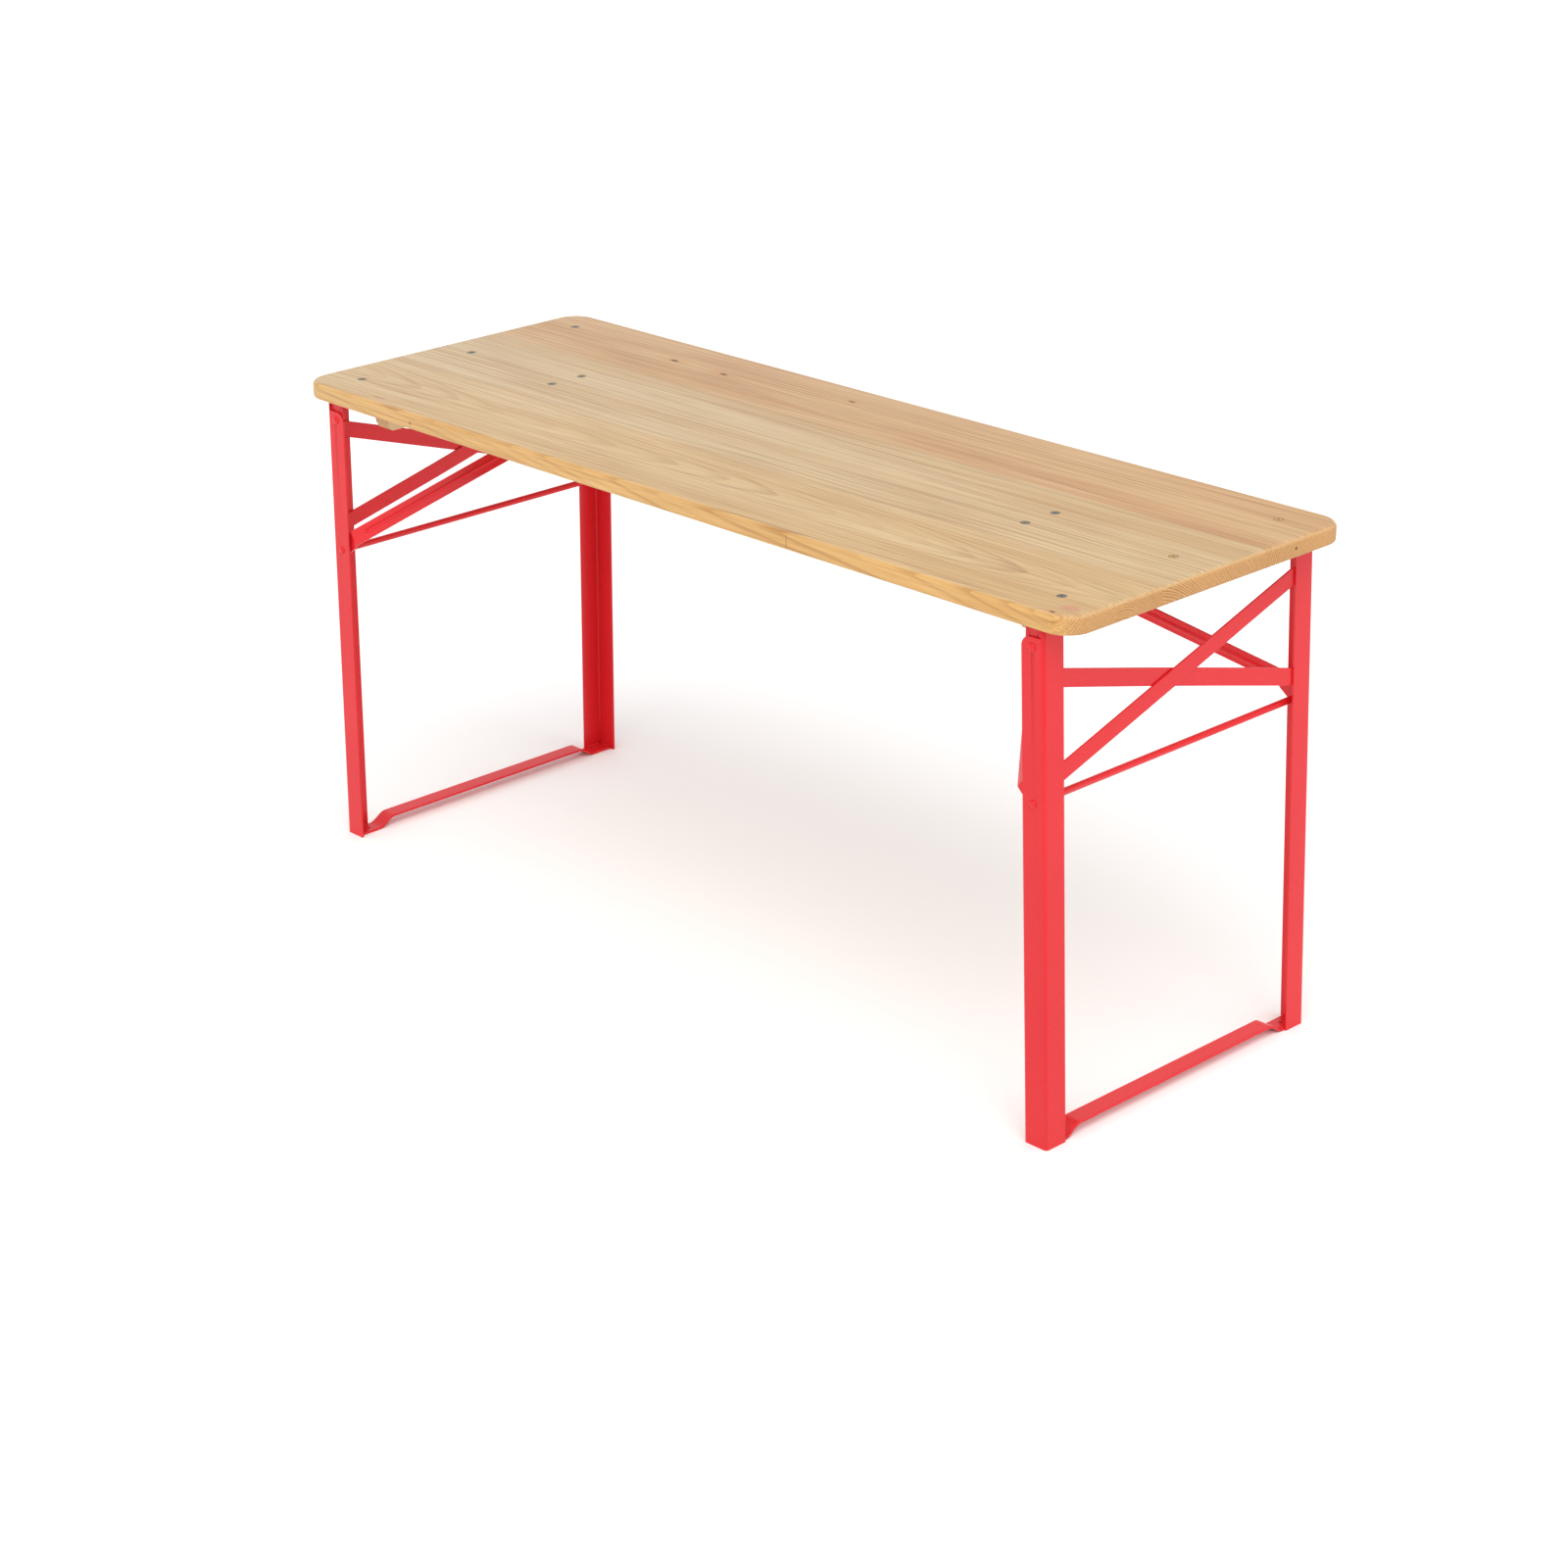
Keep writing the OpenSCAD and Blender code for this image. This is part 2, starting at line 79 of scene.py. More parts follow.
class Nodes:
    """A material being built: short names for the nodes that the finishes share."""

    def __init__(self, name):
        self.material = bpy.data.materials.new(name)
        self.material.use_nodes = True
        self.tree = self.material.node_tree
        self.shader = self.tree.nodes["Principled BSDF"]
        self.place = self.node("ShaderNodeTexCoord").outputs["Object"]

    def node(self, kind, **values):
        made = self.tree.nodes.new(kind)
        for key, value in values.items():
            setattr(made, key, value)
        return made

    def put(self, socket, value):
        if isinstance(value, bpy.types.NodeSocket):
            self.tree.links.new(value, socket)
        elif hasattr(value, "__len__") and len(value) == 3 and len(socket.default_value) == 4:
            socket.default_value = (*value, 1)
        else:
            socket.default_value = value

    def math(self, kind, a, b=0.0):
        made = self.node("ShaderNodeMath", operation=kind)
        for socket, value in zip(made.inputs, (a, b)):
            self.put(socket, value)
        return made.outputs[0]

    def vector(self, kind, a, b=(0, 0, 0)):
        made = self.node("ShaderNodeVectorMath", operation=kind)
        self.put(made.inputs[0], a)
        self.put(made.inputs[1], b)
        return made.outputs["Value" if kind == "LENGTH" else "Vector"]

    def stretch(self, vector, scale, move=(0, 0, 0)):
        made = self.node("ShaderNodeMapping")
        self.put(made.inputs["Vector"], vector)
        self.put(made.inputs["Scale"], scale)
        self.put(made.inputs["Location"], move)
        return made.outputs[0]

    def split(self, vector):
        made = self.node("ShaderNodeSeparateXYZ")
        self.put(made.inputs[0], vector)
        return made.outputs

    def join(self, x, y, z):
        made = self.node("ShaderNodeCombineXYZ")
        for socket, value in zip(made.inputs, (x, y, z)):
            self.put(socket, value)
        return made.outputs[0]

    def noise(self, vector, scale=1.0, detail=3.0, rough=0.5):
        made = self.node("ShaderNodeTexNoise")
        self.put(made.inputs["Vector"], vector)
        self.put(made.inputs["Scale"], scale)
        self.put(made.inputs["Detail"], detail)
        self.put(made.inputs["Roughness"], rough)
        return made.outputs["Fac"]

    def span(self, value, low, high, to_low=0.0, to_high=1.0, smooth=True):
        made = self.node("ShaderNodeMapRange", clamp=True)
        made.interpolation_type = "SMOOTHSTEP" if smooth else "LINEAR"
        for socket, number in zip(made.inputs, (value, low, high, to_low, to_high)):
            self.put(socket, number)
        return made.outputs[0]

    def mix(self, factor, a, b, kind="MIX"):
        made = self.node("ShaderNodeMix", data_type="RGBA", blend_type=kind)
        made.clamp_factor = True
        self.put(made.inputs[0], factor)
        self.put(made.inputs[6], a)
        self.put(made.inputs[7], b)
        return made.outputs[2]

    def ramp(self, value, *stops):
        made = self.node("ShaderNodeValToRGB")
        items = made.color_ramp.elements
        while len(items) < len(stops):
            items.new(0.5)
        for item, (at, colour) in zip(items, stops):
            item.position = at
            item.color = (*colour, 1)
        self.put(made.inputs[0], value)
        return made.outputs[0]

    def bump(self, height, strength, distance):
        made = self.node("ShaderNodeBump")
        made.inputs["Strength"].default_value = strength
        made.inputs["Distance"].default_value = distance
        self.put(made.inputs["Height"], height)
        before = self.shader.inputs["Normal"]
        if before.is_linked:
            self.put(made.inputs["Normal"], before.links[0].from_socket)
        self.put(before, made.outputs[0])

    def finish(self, colour, rough, **values):
        self.put(self.shader.inputs["Base Color"], colour)
        self.put(self.shader.inputs["Roughness"], rough)
        for key, value in values.items():
            self.shader.inputs[key.replace("_", " ")].default_value = value
        return self.material


def srgb(r, g, b):
    """A colour given as it looks on a screen, 0 to 255."""
    def linear(c):
        c /= 255
        return c / 12.92 if c <= 0.04045 else ((c + 0.055) / 1.055) ** 2.4
    return tuple(linear(c) for c in (r, g, b))


# ---------- wood ----------

# where the bolts come up through the top
STRAP_X, STRAP_Y = 0.730, 0.217
CATCH_X, CATCH_Y = 0.495, 0.030
# the painted shadow line round a bolt head is fullest here, just inside the head's edge
RIM_R = 0.0064

PALE_THREAD = srgb(228, 208, 170)
PORE = srgb(150, 104, 62)
END_PALE, END_DARK = srgb(206, 158, 104), srgb(150, 96, 48)
# painted highlight colour for the rounded top edge of the end grain
END_TOP_HIGHLIGHT = srgb(214, 174, 124)
KNOT_HALO, KNOT_CORE = srgb(196, 140, 92), srgb(92, 62, 44)
# painted shadow colour for the thin line round each bolt head
HEAD_RIM_SHADOW = srgb(96, 66, 40)
LEFT_TINT, RIGHT_TINT = (0.97, 1.0, 1.08), (1.0, 0.965, 0.90)
EDGE_TINT = (1.10, 0.93, 0.66)


def head_distance(n):
    """Distance to the nearest bolt head, and that distance along X and along Y."""
    x, y, _ = n.split(n.place)
    far_x, far_y = n.math("ABSOLUTE", x), n.math("ABSOLUTE", y)
    strap_dy = n.math("MINIMUM", far_y, n.math("ABSOLUTE", n.math("SUBTRACT", far_y, STRAP_Y)))
    strap_dx = n.math("ABSOLUTE", n.math("SUBTRACT", far_x, STRAP_X))
    catch_dx = n.math("ABSOLUTE", n.math("SUBTRACT", far_x, CATCH_X))
    catch_dy = n.math("ABSOLUTE", n.math("SUBTRACT", far_y, CATCH_Y))
    near_end = n.math("GREATER_THAN", far_x, (STRAP_X + CATCH_X) / 2)

    def pick(a, b):
        return n.math("ADD", n.math("MULTIPLY", near_end, a),
                      n.math("MULTIPLY", n.math("SUBTRACT", 1.0, near_end), b))

    dx, dy = pick(strap_dx, catch_dx), pick(strap_dy, catch_dy)
    return n.vector("LENGTH", n.join(dx, dy, 0.0)), dx, dy


def board_wood(name, seed, tones, heart, knots, ring, cathedral=None, marks=()):
    """Lacquered softwood. The growth rings are tubes about a heart line below the board,
    so that the flat-sawn face, the edges and the end grain agree with each other."""
    n = Nodes(name)
    x, y, z = n.split(n.place)
    shift = (seed * 3.7, seed * 1.9, seed * 5.3)

    # the heart wanders slowly along the board
    slow = n.noise(n.stretch(n.place, (0.9, 0.9, 0.9), shift), 1.0, 1.0)
    other_shift = (shift[1], shift[2], shift[0])
    slow_two = n.noise(n.stretch(n.place, (1.3, 0.7, 0.7), other_shift), 1.0, 1.0)
    heart_y = n.math("ADD", n.math("MULTIPLY", n.math("SUBTRACT", slow, 0.5), 0.035), heart[0])
    heart_z = n.math("ADD", n.math("MULTIPLY", n.math("SUBTRACT", slow_two, 0.5), 0.022), heart[1])
    dy = n.math("SUBTRACT", y, heart_y)
    dz = n.math("SUBTRACT", z, heart_z)
    radius = n.math("SQRT", n.math("ADD", n.math("MULTIPLY", dy, dy), n.math("MULTIPLY", dz, dz)))
    if cathedral:
        # arches: the trunk's taper carries the rings across the face
        at_x, per_m = cathedral
        radius = n.math("ADD", radius, n.math("MULTIPLY", n.math("SUBTRACT", x, at_x), per_m))

    # rings swing round each knot
    knot_mask = 0.0
    halo_mask = 0.0
    for kx, ky, size in knots:
        from_knot = n.vector("SUBTRACT", n.place, (kx, ky, TOP_Z))
        d = n.vector("LENGTH", n.vector("MULTIPLY", from_knot, (0.42, 1.0, 1.0)))
        pull = n.span(d, 0.0, size * 5.5, 1.0, 0.0)
        radius = n.math("ADD", radius, n.math("MULTIPLY", pull, size * 0.9))
        core = n.span(d, size * 0.34, size * 0.66, 1.0, 0.0)
        halo = n.span(d, size * 0.5, size * 2.6, 1.0, 0.0)
        knot_mask = n.math("MAXIMUM", core, knot_mask)
        halo_mask = n.math("MAXIMUM", halo, halo_mask)

    wobble = n.noise(n.stretch(n.place, (1.1, 16, 16), shift), 1.0, 3.0, 0.5)
    radius = n.math("ADD", radius, n.math("MULTIPLY", n.math("SUBTRACT", wobble, 0.5), 0.009))
    turns = n.math("DIVIDE", radius, ring)
    uneven = n.noise(n.join(n.math("MULTIPLY", turns, 0.31), seed, 0.0), 1.0, 2.0)
    turns = n.math("ADD", turns, n.math("MULTIPLY", uneven, 1.6))
    phase = n.math("FRACT", turns)
    # earlywood grows pale and broad, latewood closes the ring in a thin darker line
    late = n.math("MULTIPLY", n.span(phase, 0.42, 0.90), n.span(phase, 0.93, 1.0, 1.0, 0.0))
    ring_place = n.join(n.math("FLOOR", turns), seed * 2.3, n.math("MULTIPLY", x, 0.8))
    strength = n.noise(ring_place, 1.7, 1.0)
    strength = n.span(strength, 0.34, 0.68, 0.22, 1.0)
    late = n.math("MULTIPLY", late, strength)

    # fibres, streaks and broad drifts of colour, all long in X
    fibre = n.noise(n.stretch(n.place, (9, 620, 620), shift), 1.0, 4.0, 0.6)
    streak = n.noise(n.stretch(n.place, (2.2, 150, 150), shift), 1.0, 4.0, 0.62)
    drift = n.noise(n.stretch(n.place, (0.8, 17, 17), shift), 1.0, 3.0, 0.55)
    cloud = n.noise(n.stretch(n.place, (2.4, 7, 7), shift), 1.0, 2.0, 0.5)

    pale, honey, tan, line = tones
    colour = n.mix(n.span(drift, 0.36, 0.66), pale, honey)
    colour = n.mix(n.math("MULTIPLY", n.span(streak, 0.52, 0.74), 0.55), colour, tan)
    colour = n.mix(n.math("MULTIPLY", n.span(cloud, 0.5, 0.76), 0.35), colour, tan)
    colour = n.mix(n.math("MULTIPLY", late, 0.46), colour, line)
    fine = n.span(fibre, 0.3, 0.72, 0.88, 1.06)
    colour = n.mix(1.0, colour, n.join(fine, fine, fine), "MULTIPLY")
    thread = n.noise(n.stretch(n.place, (3.4, 300, 300), shift), 1.0, 3.0, 0.6)
    colour = n.mix(n.math("MULTIPLY", n.span(thread, 0.52, 0.68), 0.42), colour, line)
    pale_part = n.span(thread, 0.32, 0.48, 1.0, 0.0)
    colour = n.mix(n.math("MULTIPLY", pale_part, 0.30), colour, PALE_THREAD)
    # the wood is a little paler at the left end and warmer at the right
    drift_x = n.span(x, -HALF_X, HALF_X, 0.0, 1.0, smooth=False)
    colour = n.mix(1.0, colour, n.mix(drift_x, LEFT_TINT, RIGHT_TINT), "MULTIPLY")

    # short dark pore marks
    pores = n.noise(n.stretch(n.place, (38, 900, 900), shift), 1.0, 1.0, 0.5)
    mark = n.math("MULTIPLY", n.span(pores, 0.70, 0.78), 0.30)
    colour = n.mix(mark, colour, PORE)

    # end grain drinks the lacquer and shows orange-brown; the long edges are warmer than the face
    normal = n.split(n.node("ShaderNodeNewGeometry").outputs["True Normal"])
    end = n.span(n.math("ABSOLUTE", normal[0]), 0.45, 0.85)
    edge = n.span(n.math("ABSOLUTE", normal[1]), 0.25, 0.8)
    arcs = n.math("SINE", n.math("MULTIPLY", turns, 2.0 * math.pi * 1.6))
    patches = n.math("MULTIPLY", n.math("SUBTRACT", cloud, 0.5), 2.4)
    arcs = n.span(n.math("ADD", arcs, patches), -0.2, 1.2)
    warm = n.mix(n.math("MULTIPLY", arcs, 0.62), END_PALE, END_DARK)
    # painted highlight: the end grain is paler along its rounded top edge
    warm = n.mix(n.span(z, TOP_Z - 0.006, TOP_Z - 0.001), warm, END_TOP_HIGHLIGHT)
    speckle = n.noise(n.stretch(n.place, (60, 420, 420), shift), 1.0, 3.0, 0.6)
    shade = n.span(speckle, 0.3, 0.7, 0.86, 1.06)
    warm = n.mix(1.0, warm, n.join(shade, shade, shade), "MULTIPLY")
    colour = n.mix(edge, colour, n.mix(1.0, colour, EDGE_TINT, "MULTIPLY"))
    colour = n.mix(end, colour, warm)

    if knots:
        colour = n.mix(n.math("MULTIPLY", halo_mask, 0.42), colour, KNOT_HALO)
        colour = n.mix(knot_mask, colour, KNOT_CORE)

    # stains, dents and pitch marks, each ragged along the grain
    for place, stretch, size, tint, amount in marks:
        from_mark = n.vector("SUBTRACT", n.place, place)
        d = n.vector("LENGTH", n.vector("MULTIPLY", from_mark, stretch))
        ragged = n.math("ADD", d, n.math("MULTIPLY", n.math("SUBTRACT", streak, 0.5), size * 1.2))
        spot = n.span(ragged, size * 0.45, size, 1.0, 0.0)
        colour = n.mix(n.math("MULTIPLY", spot, amount), colour, tint)

    # painted shadow: the wood is darkened in a thin line round each bolt head
    away = head_distance(n)[0]
    colour = n.mix(n.span(away, RIM_R, 0.0076, 0.75, 0.0), colour, HEAD_RIM_SHADOW)

    grain = n.math("ADD", n.math("MULTIPLY", fibre, 0.6), n.math("MULTIPLY", late, 0.5))
    n.bump(grain, 0.22, 0.0006)
    n.bump(n.noise(n.place, 160, 2.0), 0.05, 0.0008)
    rough = n.math("ADD", n.span(fibre, 0.3, 0.7, 0.40, 0.50), n.math("MULTIPLY", end, 0.14))
    return n.finish(colour, rough, IOR=1.45, Specular_IOR_Level=0.28)


# A knot is its x, y and size. A mark is its place, its squeeze along each axis, its size,
# its colour and how strongly it shows.
WOOD = {
    "front_board": board_wood(
        "wood_front", 1.0,
        (srgb(213, 186, 143), srgb(204, 171, 125), srgb(190, 152, 109), srgb(156, 113, 74)),
        (-0.180, 0.700), [(0.762, -0.270, 0.0040)], 0.0050, cathedral=(0.42, 0.050),
        marks=[
            ((0.770, -0.245, TOP_Z), (1.0, 1.5, 1.0), 0.020, srgb(196, 128, 104), 0.55),
            ((-0.628, -0.262, TOP_Z), (0.6, 2.5, 1.0), 0.012, srgb(172, 126, 98), 0.6),
            ((-0.575, -0.276, TOP_Z - 0.004), (0.12, 1.0, 1.0), 0.005, srgb(160, 108, 66), 0.45),
            ((-0.530, -0.280, UNDER_Z + 0.010), (0.5, 1.0, 1.0), 0.0032, srgb(120, 84, 54), 0.55),
            ((0.290, -0.280, UNDER_Z + 0.011), (3.2, 1.0, 0.4), 0.008, srgb(176, 122, 72), 0.5),
        ]),
    "middle_board": board_wood(
        "wood_middle", 2.0,
        (srgb(208, 183, 144), srgb(199, 168, 126), srgb(184, 146, 106), srgb(148, 108, 72)),
        (-0.16, 0.60), [], 0.0056),
    "rear_board": board_wood(
        "wood_rear", 3.0,
        (srgb(207, 172, 129), srgb(198, 157, 114), srgb(184, 134, 97), srgb(150, 101, 69)),
        (0.36, 0.66), [(-0.458, 0.191, 0.0068), (-0.343, 0.190, 0.0064), (-0.090, 0.220, 0.0054)],
        0.0062,
        marks=[((0.8, 0.168, UNDER_Z + 0.014), (1.0, 1.0, 1.0), 0.003, srgb(70, 44, 30), 0.9)]),
}


def cleat_wood():
    n = Nodes("cleat_wood")
    along = n.stretch(n.place, (320, 4.5, 320), (2, 3, 4))
    fibre = n.noise(along, 1.0, 4.0, 0.6)
    band = n.noise(n.stretch(n.place, (46, 1.2, 46), (5, 1, 2)), 1.0, 3.0, 0.55)
    colour = n.ramp(n.span(band, 0.3, 0.7), (0.0, srgb(226, 200, 160)), (0.55, srgb(214, 182, 136)),
                    (1.0, srgb(192, 154, 108)))
    fine = n.span(fibre, 0.3, 0.7, 0.90, 1.05)
    colour = n.mix(1.0, colour, n.join(fine, fine, fine), "MULTIPLY")
    normal = n.split(n.node("ShaderNodeNewGeometry").outputs["True Normal"])
    end = n.span(n.math("ABSOLUTE", normal[1]), 0.5, 0.85)
    colour = n.mix(n.math("MULTIPLY", end, 0.6), colour, srgb(190, 148, 98))
    n.bump(fibre, 0.3, 0.0006)
    return n.finish(colour, n.span(fibre, 0.3, 0.7, 0.62, 0.74), IOR=1.45)


# ---------- metals ----------

def red_coat():
    """Powder coat: a clean gloss red with fine orange peel, scuffed a little at the feet."""
    n = Nodes("red_coat")
    tone = n.noise(n.place, 3.0, 2.0)
    colour = n.mix(n.span(tone, 0.35, 0.65), srgb(221, 36, 43), srgb(216, 32, 40))
    speck = n.noise(n.place, 900, 2.0, 0.6)
    colour = n.mix(n.math("MULTIPLY", n.span(speck, 0.60, 0.8), 0.06), colour, srgb(240, 110, 112))
    low = n.span(n.split(n.place)[2], 0.0, 0.12, 1.0, 0.0)
    scuff = n.noise(n.stretch(n.place, (160, 160, 60)), 1.0, 4.0, 0.65)
    worn = n.math("MULTIPLY", n.span(scuff, 0.60, 0.72), low)
    colour = n.mix(n.math("MULTIPLY", worn, 0.14), colour, srgb(150, 30, 34))
    n.bump(n.noise(n.place, 900, 2.0, 0.5), 0.06, 0.0004)
    n.bump(n.noise(n.place, 60, 1.0), 0.02, 0.002)
    rough = n.math("ADD", n.span(speck, 0.3, 0.7, 0.27, 0.31), n.math("MULTIPLY", worn, 0.2))
    return n.finish(colour, rough, IOR=1.5, Specular_IOR_Level=0.30,
                    Coat_Weight=0.08, Coat_Roughness=0.08)


# half the width and half the length of the cross recess: where it is full and where it has faded
RECESS_WIDE = (0.0006, 0.0009)
RECESS_LONG = (0.0026, 0.0030)


def bolt_heads():
    """Yellow zinc plate with painted reflections: gold on the heads at the right end, dim grey-olive
    on the rest. A painted shadow runs round the rim, and the cross recess is a bump with painted
    shade in it.
    """
    n = Nodes("bolt_heads")
    away, dx, dy = head_distance(n)
    x, y, z = n.split(n.place)
    # painted reflection: the heads at the right end are painted gold, the rest a dim grey-olive
    gold_reflection = n.math("MULTIPLY", n.span(x, 0.55, 0.62), n.span(y, -0.12, -0.08))
    tone = n.span(n.noise(n.place, 35, 1.0), 0.4, 0.6)
    dim_reflection = n.mix(tone, srgb(146, 138, 112), srgb(128, 128, 124))
    colour = n.mix(gold_reflection, dim_reflection, srgb(226, 180, 98))
    blotch = n.noise(n.place, 900, 3.0, 0.6)
    colour = n.mix(n.math("MULTIPLY", n.span(blotch, 0.5, 0.7), 0.4), colour, srgb(92, 84, 66))
    # painted shadow round the rim of each head
    colour = n.mix(n.span(away, 0.0050, RIM_R, 0.0, 0.75), colour, srgb(64, 54, 40))

    def arm(across, along):
        return n.math("MULTIPLY", n.span(across, *RECESS_WIDE, 1.0, 0.0),
                      n.span(along, *RECESS_LONG, 1.0, 0.0))

    # the cross recess is a bump with painted shade in it
    cross = n.math("MAXIMUM", arm(dx, dy), arm(dy, dx))
    recess = n.math("MULTIPLY", cross, n.math("GREATER_THAN", z, TOP_Z - 0.001))
    colour = n.mix(n.math("MULTIPLY", recess, 0.9), colour, srgb(34, 30, 24))
    n.bump(n.math("SUBTRACT", 1.0, recess), 0.8, 0.0012)
    n.bump(blotch, 0.15, 0.0003)
    return n.finish(colour, n.span(blotch, 0.3, 0.7, 0.30, 0.44), Metallic=0.85)


def plated(name, light, dark, rough):
    """Bare or zinc-plated steel, blotched from light to dark."""
    n = Nodes(name)
    blotch = n.noise(n.place, 420, 3.0, 0.6)
    colour = n.mix(n.span(blotch, 0.35, 0.7), light, dark)
    ring = n.noise(n.stretch(n.place, (2600, 2600, 300)), 1.0, 2.0)
    n.bump(ring, 0.12, 0.0002)
    return n.finish(colour, n.span(blotch, 0.3, 0.7, rough, rough + 0.16), Metallic=1.0)


RED = red_coat()
CLEAT = cleat_wood()
ZINC = plated("zinc_plate", srgb(196, 192, 182), srgb(158, 152, 138), 0.28)
HEADS = bolt_heads()
SPRING = plated("spring_wire", srgb(150, 150, 152), srgb(96, 96, 100), 0.25)

# how far the edges are eased, and the least angle that counts as an edge
STEEL_EASE, CLEAT_EASE = 0.0009, 0.0010
EDGE_DEGREES = 35


def ease_edges(thing, width):
    """Softens the sharp edges of a CAD piece so that they catch the light."""
    weld = thing.modifiers.new("weld", "WELD")
    weld.merge_threshold = 0.00001
    bevel = thing.modifiers.new("ease", "BEVEL")
    bevel.width = width
    bevel.segments = 2
    bevel.limit_method = "ANGLE"
    bevel.angle_limit = math.radians(EDGE_DEGREES)
    bevel.harden_normals = True
    bevel.use_clamp_overlap = True


PLATED_NODES = ("cleat_screws", "strap_nuts", "catch_nuts", "latch_pins",
                "strut_pin_left", "strut_pin_right")

for name, thing in nodes.items():
    if name in WOOD:
        finish = WOOD[name]
    elif name.startswith("end_cleat"):
        finish = CLEAT
    elif name in ("strap_bolts", "catch_bolts"):
        finish = HEADS
    elif name.startswith("latch_spring"):
        finish = SPRING
    elif name in PLATED_NODES:
        finish = ZINC
    else:
        finish = RED
    for slot in thing.material_slots:
        slot.material = finish
    if finish is RED:
        ease_edges(thing, STEEL_EASE)
    elif finish is CLEAT:
        ease_edges(thing, CLEAT_EASE)


# ---------- weld beads ----------

# the rivets that the legs fold on, in line with the strap bolts, and the legs' outward lean
HINGE_X, HINGE_Z, LEAN = STRAP_X, 0.705, math.radians(1.65)
# the free edge of the flange that a brace lies on, and its beads' far end, just past the plate
FLANGE_EDGE_Y, BEAD_END_Y = 0.234, 0.2675
# x of the beads from the line of the fold pivots: along a brace's edges, and across its end
SIDE_BEAD_X, END_BEAD_X = 0.0165, 0.0150
BRACE_W = 0.025
# each brace's heights from the hinge at the two flange edges, and which way it runs
BRACES = ((-0.176, -0.026, 1), (-0.171, -0.047, -1))
# the foot rail's upper face at the feet, the ends of the bead along its edge, and the
# place of the bead across its end
RAIL_TOP = 0.004
RAIL_BEAD_Y = (0.238, 0.266)
TOE_BEAD_Y = 0.2682


def on_leg(x, y, z):
    """A point measured from the fold pivot of the upright right-hand leg, as it stands."""
    return Vector((HINGE_X + x * math.cos(LEAN) - z * math.sin(LEAN), y,
                   HINGE_Z + x * math.sin(LEAN) + z * math.cos(LEAN)))


def bead(mesh, start, end, radius, pitch=0.0024, sides=10, per_pitch=6):
    """One run of weld: a low rippled bead from start to end."""
    along = end - start
    length = along.length
    along.normalize()
    across = along.cross(Vector((0.3, 0.2, 1.0))).normalized()
    up = along.cross(across)
    count = max(12, int(length / pitch * per_pitch))
    rings = []
    for i in range(count + 1):
        t = i / count
        ripple = 0.86 + 0.14 * abs(math.sin(math.pi * t * length / pitch))
        taper = math.sqrt(max(0.0, 1.0 - (2.0 * t - 1.0) ** 12))
        wander = 0.00025 * math.sin(9.0 * t + length * 900.0)
        size = max(radius * ripple * taper, 0.00012)
        middle = start + along * (length * t) + across * wander
        rings.append([mesh.verts.new(middle + size * (math.cos(a) * across + math.sin(a) * up))
                      for a in (2.0 * math.pi * k / sides for k in range(sides))])
    for one, two in zip(rings, rings[1:]):
        for k in range(sides):
            n = (k + 1) % sides
            mesh.faces.new((one[k], one[n], two[n], two[k]))
    mesh.faces.new(tuple(reversed(rings[0])))
    mesh.faces.new(tuple(rings[-1]))


def brace_welds(mesh, low, high, side):
    """Beads round both ends of a cross brace; low and high are its heights at the flange edges."""
    slope = (high - low) / (2 * FLANGE_EDGE_Y)
    half = BRACE_W / 2 * math.sqrt(1 + slope * slope) + 0.0006
    for end in (-1, 1):
        edge_z = low if end < 0 else high
        in_z = edge_z + end * slope * (BEAD_END_Y - FLANGE_EDGE_Y)
        y_edge, y_in = side * end * (FLANGE_EDGE_Y + 0.004), side * end * BEAD_END_Y
        for offset in (-half, half):
            bead(mesh, on_leg(SIDE_BEAD_X, y_edge, edge_z + offset),
                 on_leg(SIDE_BEAD_X, y_in, in_z + offset), 0.0014)
        bead(mesh, on_leg(END_BEAD_X, y_in, in_z - half + 0.001),
             on_leg(END_BEAD_X, y_in, in_z + half - 0.001), 0.0016)


def frame_welds(name, body, turn):
    """All the beads of one leg frame, laid on the right-hand one and turned for the left."""
    mesh = bmesh.new()
    for low, high, side in BRACES:
        brace_welds(mesh, low, high, side)
    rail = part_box("foot_rail_right")
    for end in (-1, 1):
        start_y, stop_y = (end * y for y in RAIL_BEAD_Y)
        bead(mesh, Vector((rail[1].x - 0.0004, start_y, RAIL_TOP + 0.0004)),
             Vector((rail[1].x - 0.0004, stop_y, RAIL_TOP + 0.0004)), 0.0019)
        bead(mesh, Vector((rail[0].x + 0.004, end * TOE_BEAD_Y, RAIL_TOP + 0.0003)),
             Vector((rail[1].x - 0.003, end * TOE_BEAD_Y, RAIL_TOP + 0.0003)), 0.0018)
    if turn:
        bmesh.ops.rotate(mesh, verts=mesh.verts, matrix=Matrix.Rotation(math.pi, 3, "Z"))
    data = bpy.data.meshes.new(name)
    mesh.to_mesh(data)
    mesh.free()
    for face in data.polygons:
        face.use_smooth = True
    data.materials.append(RED)
    piece = bpy.data.objects.new(name, data)
    bpy.context.collection.objects.link(piece)
    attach(piece, body)


frame_welds("welds_right", "leg_frame_right", False)
frame_welds("welds_left", "leg_frame_left", True)


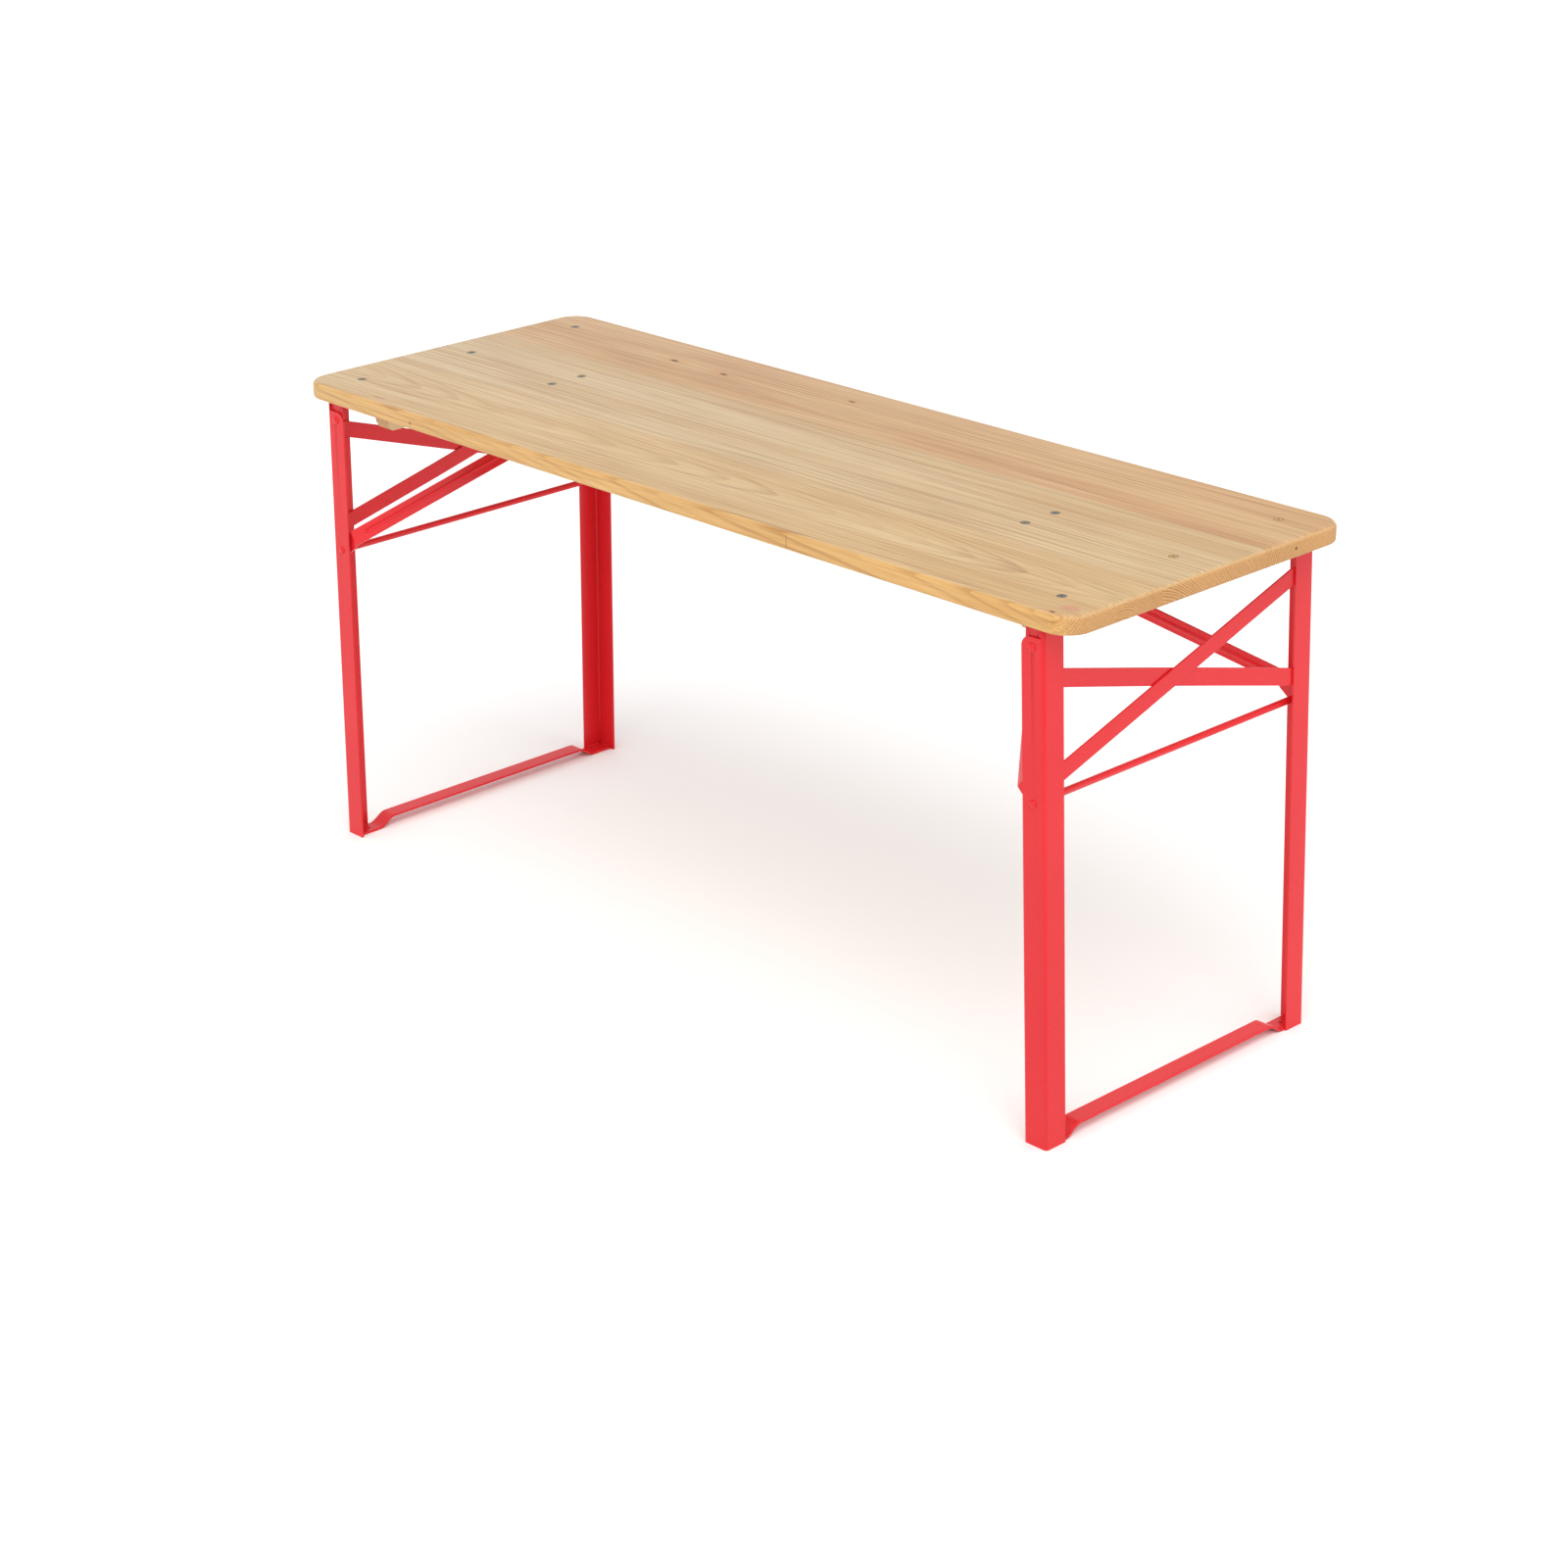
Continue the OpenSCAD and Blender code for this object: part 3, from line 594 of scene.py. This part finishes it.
# ---------- floor, world and light ----------

FLOOR_REACH = 300.0
# the studio wall's strength rises from dim to bright between these heights of view
WALL_LOW, WALL_HIGH = -0.05, 0.70
WALL_DIM, WALL_BRIGHT = 0.66, 0.88


def make_floor():
    """A plain white floor, wide enough to reach the horizon."""
    mesh = bpy.data.meshes.new("floor")
    corners = [(x * FLOOR_REACH, y * FLOOR_REACH, 0) for x, y in ((-1, -1), (1, -1), (1, 1), (-1, 1))]
    mesh.from_pydata(corners, [], [(0, 1, 2, 3)])
    floor = bpy.data.objects.new("floor", mesh)
    bpy.context.collection.objects.link(floor)
    n = Nodes("floor_white")
    mesh.materials.append(n.finish((0.97, 0.97, 0.97), 0.85, Specular_IOR_Level=0.0))


def make_world():
    """White studio walls: brightest overhead, a little dimmer towards the floor line."""
    world = bpy.data.worlds.new("studio")
    bpy.context.scene.world = world
    world.use_nodes = True
    tree = world.node_tree
    place = tree.nodes.new("ShaderNodeTexCoord")
    parts = tree.nodes.new("ShaderNodeSeparateXYZ")
    height = tree.nodes.new("ShaderNodeMapRange")
    for index, number in enumerate((WALL_LOW, WALL_HIGH, WALL_DIM, WALL_BRIGHT), start=1):
        height.inputs[index].default_value = number
    background = tree.nodes["Background"]
    background.inputs["Color"].default_value = (1, 1, 1, 1)
    tree.links.new(place.outputs["Generated"], parts.inputs[0])
    tree.links.new(parts.outputs["Z"], height.inputs["Value"])
    tree.links.new(height.outputs["Result"], background.inputs["Strength"])


def soft_sun(name, toward, strength, spread):
    """Light from one side of the sky, as wide as a studio bank, so that shadows stay faint."""
    data = bpy.data.lights.new(name, "SUN")
    data.energy = strength
    data.angle = math.radians(spread)
    lamp = bpy.data.objects.new(name, data)
    lamp.rotation_euler = Vector(toward).to_track_quat("-Z", "Y").to_euler()
    bpy.context.collection.objects.link(lamp)


make_floor()
make_world()
soft_sun("bank_front", (-0.45, 0.55, -0.95), 1.34, 50)
soft_sun("bank_right", (-0.80, -0.05, -0.80), 0.32, 60)

bpy.context.view_layer.update()
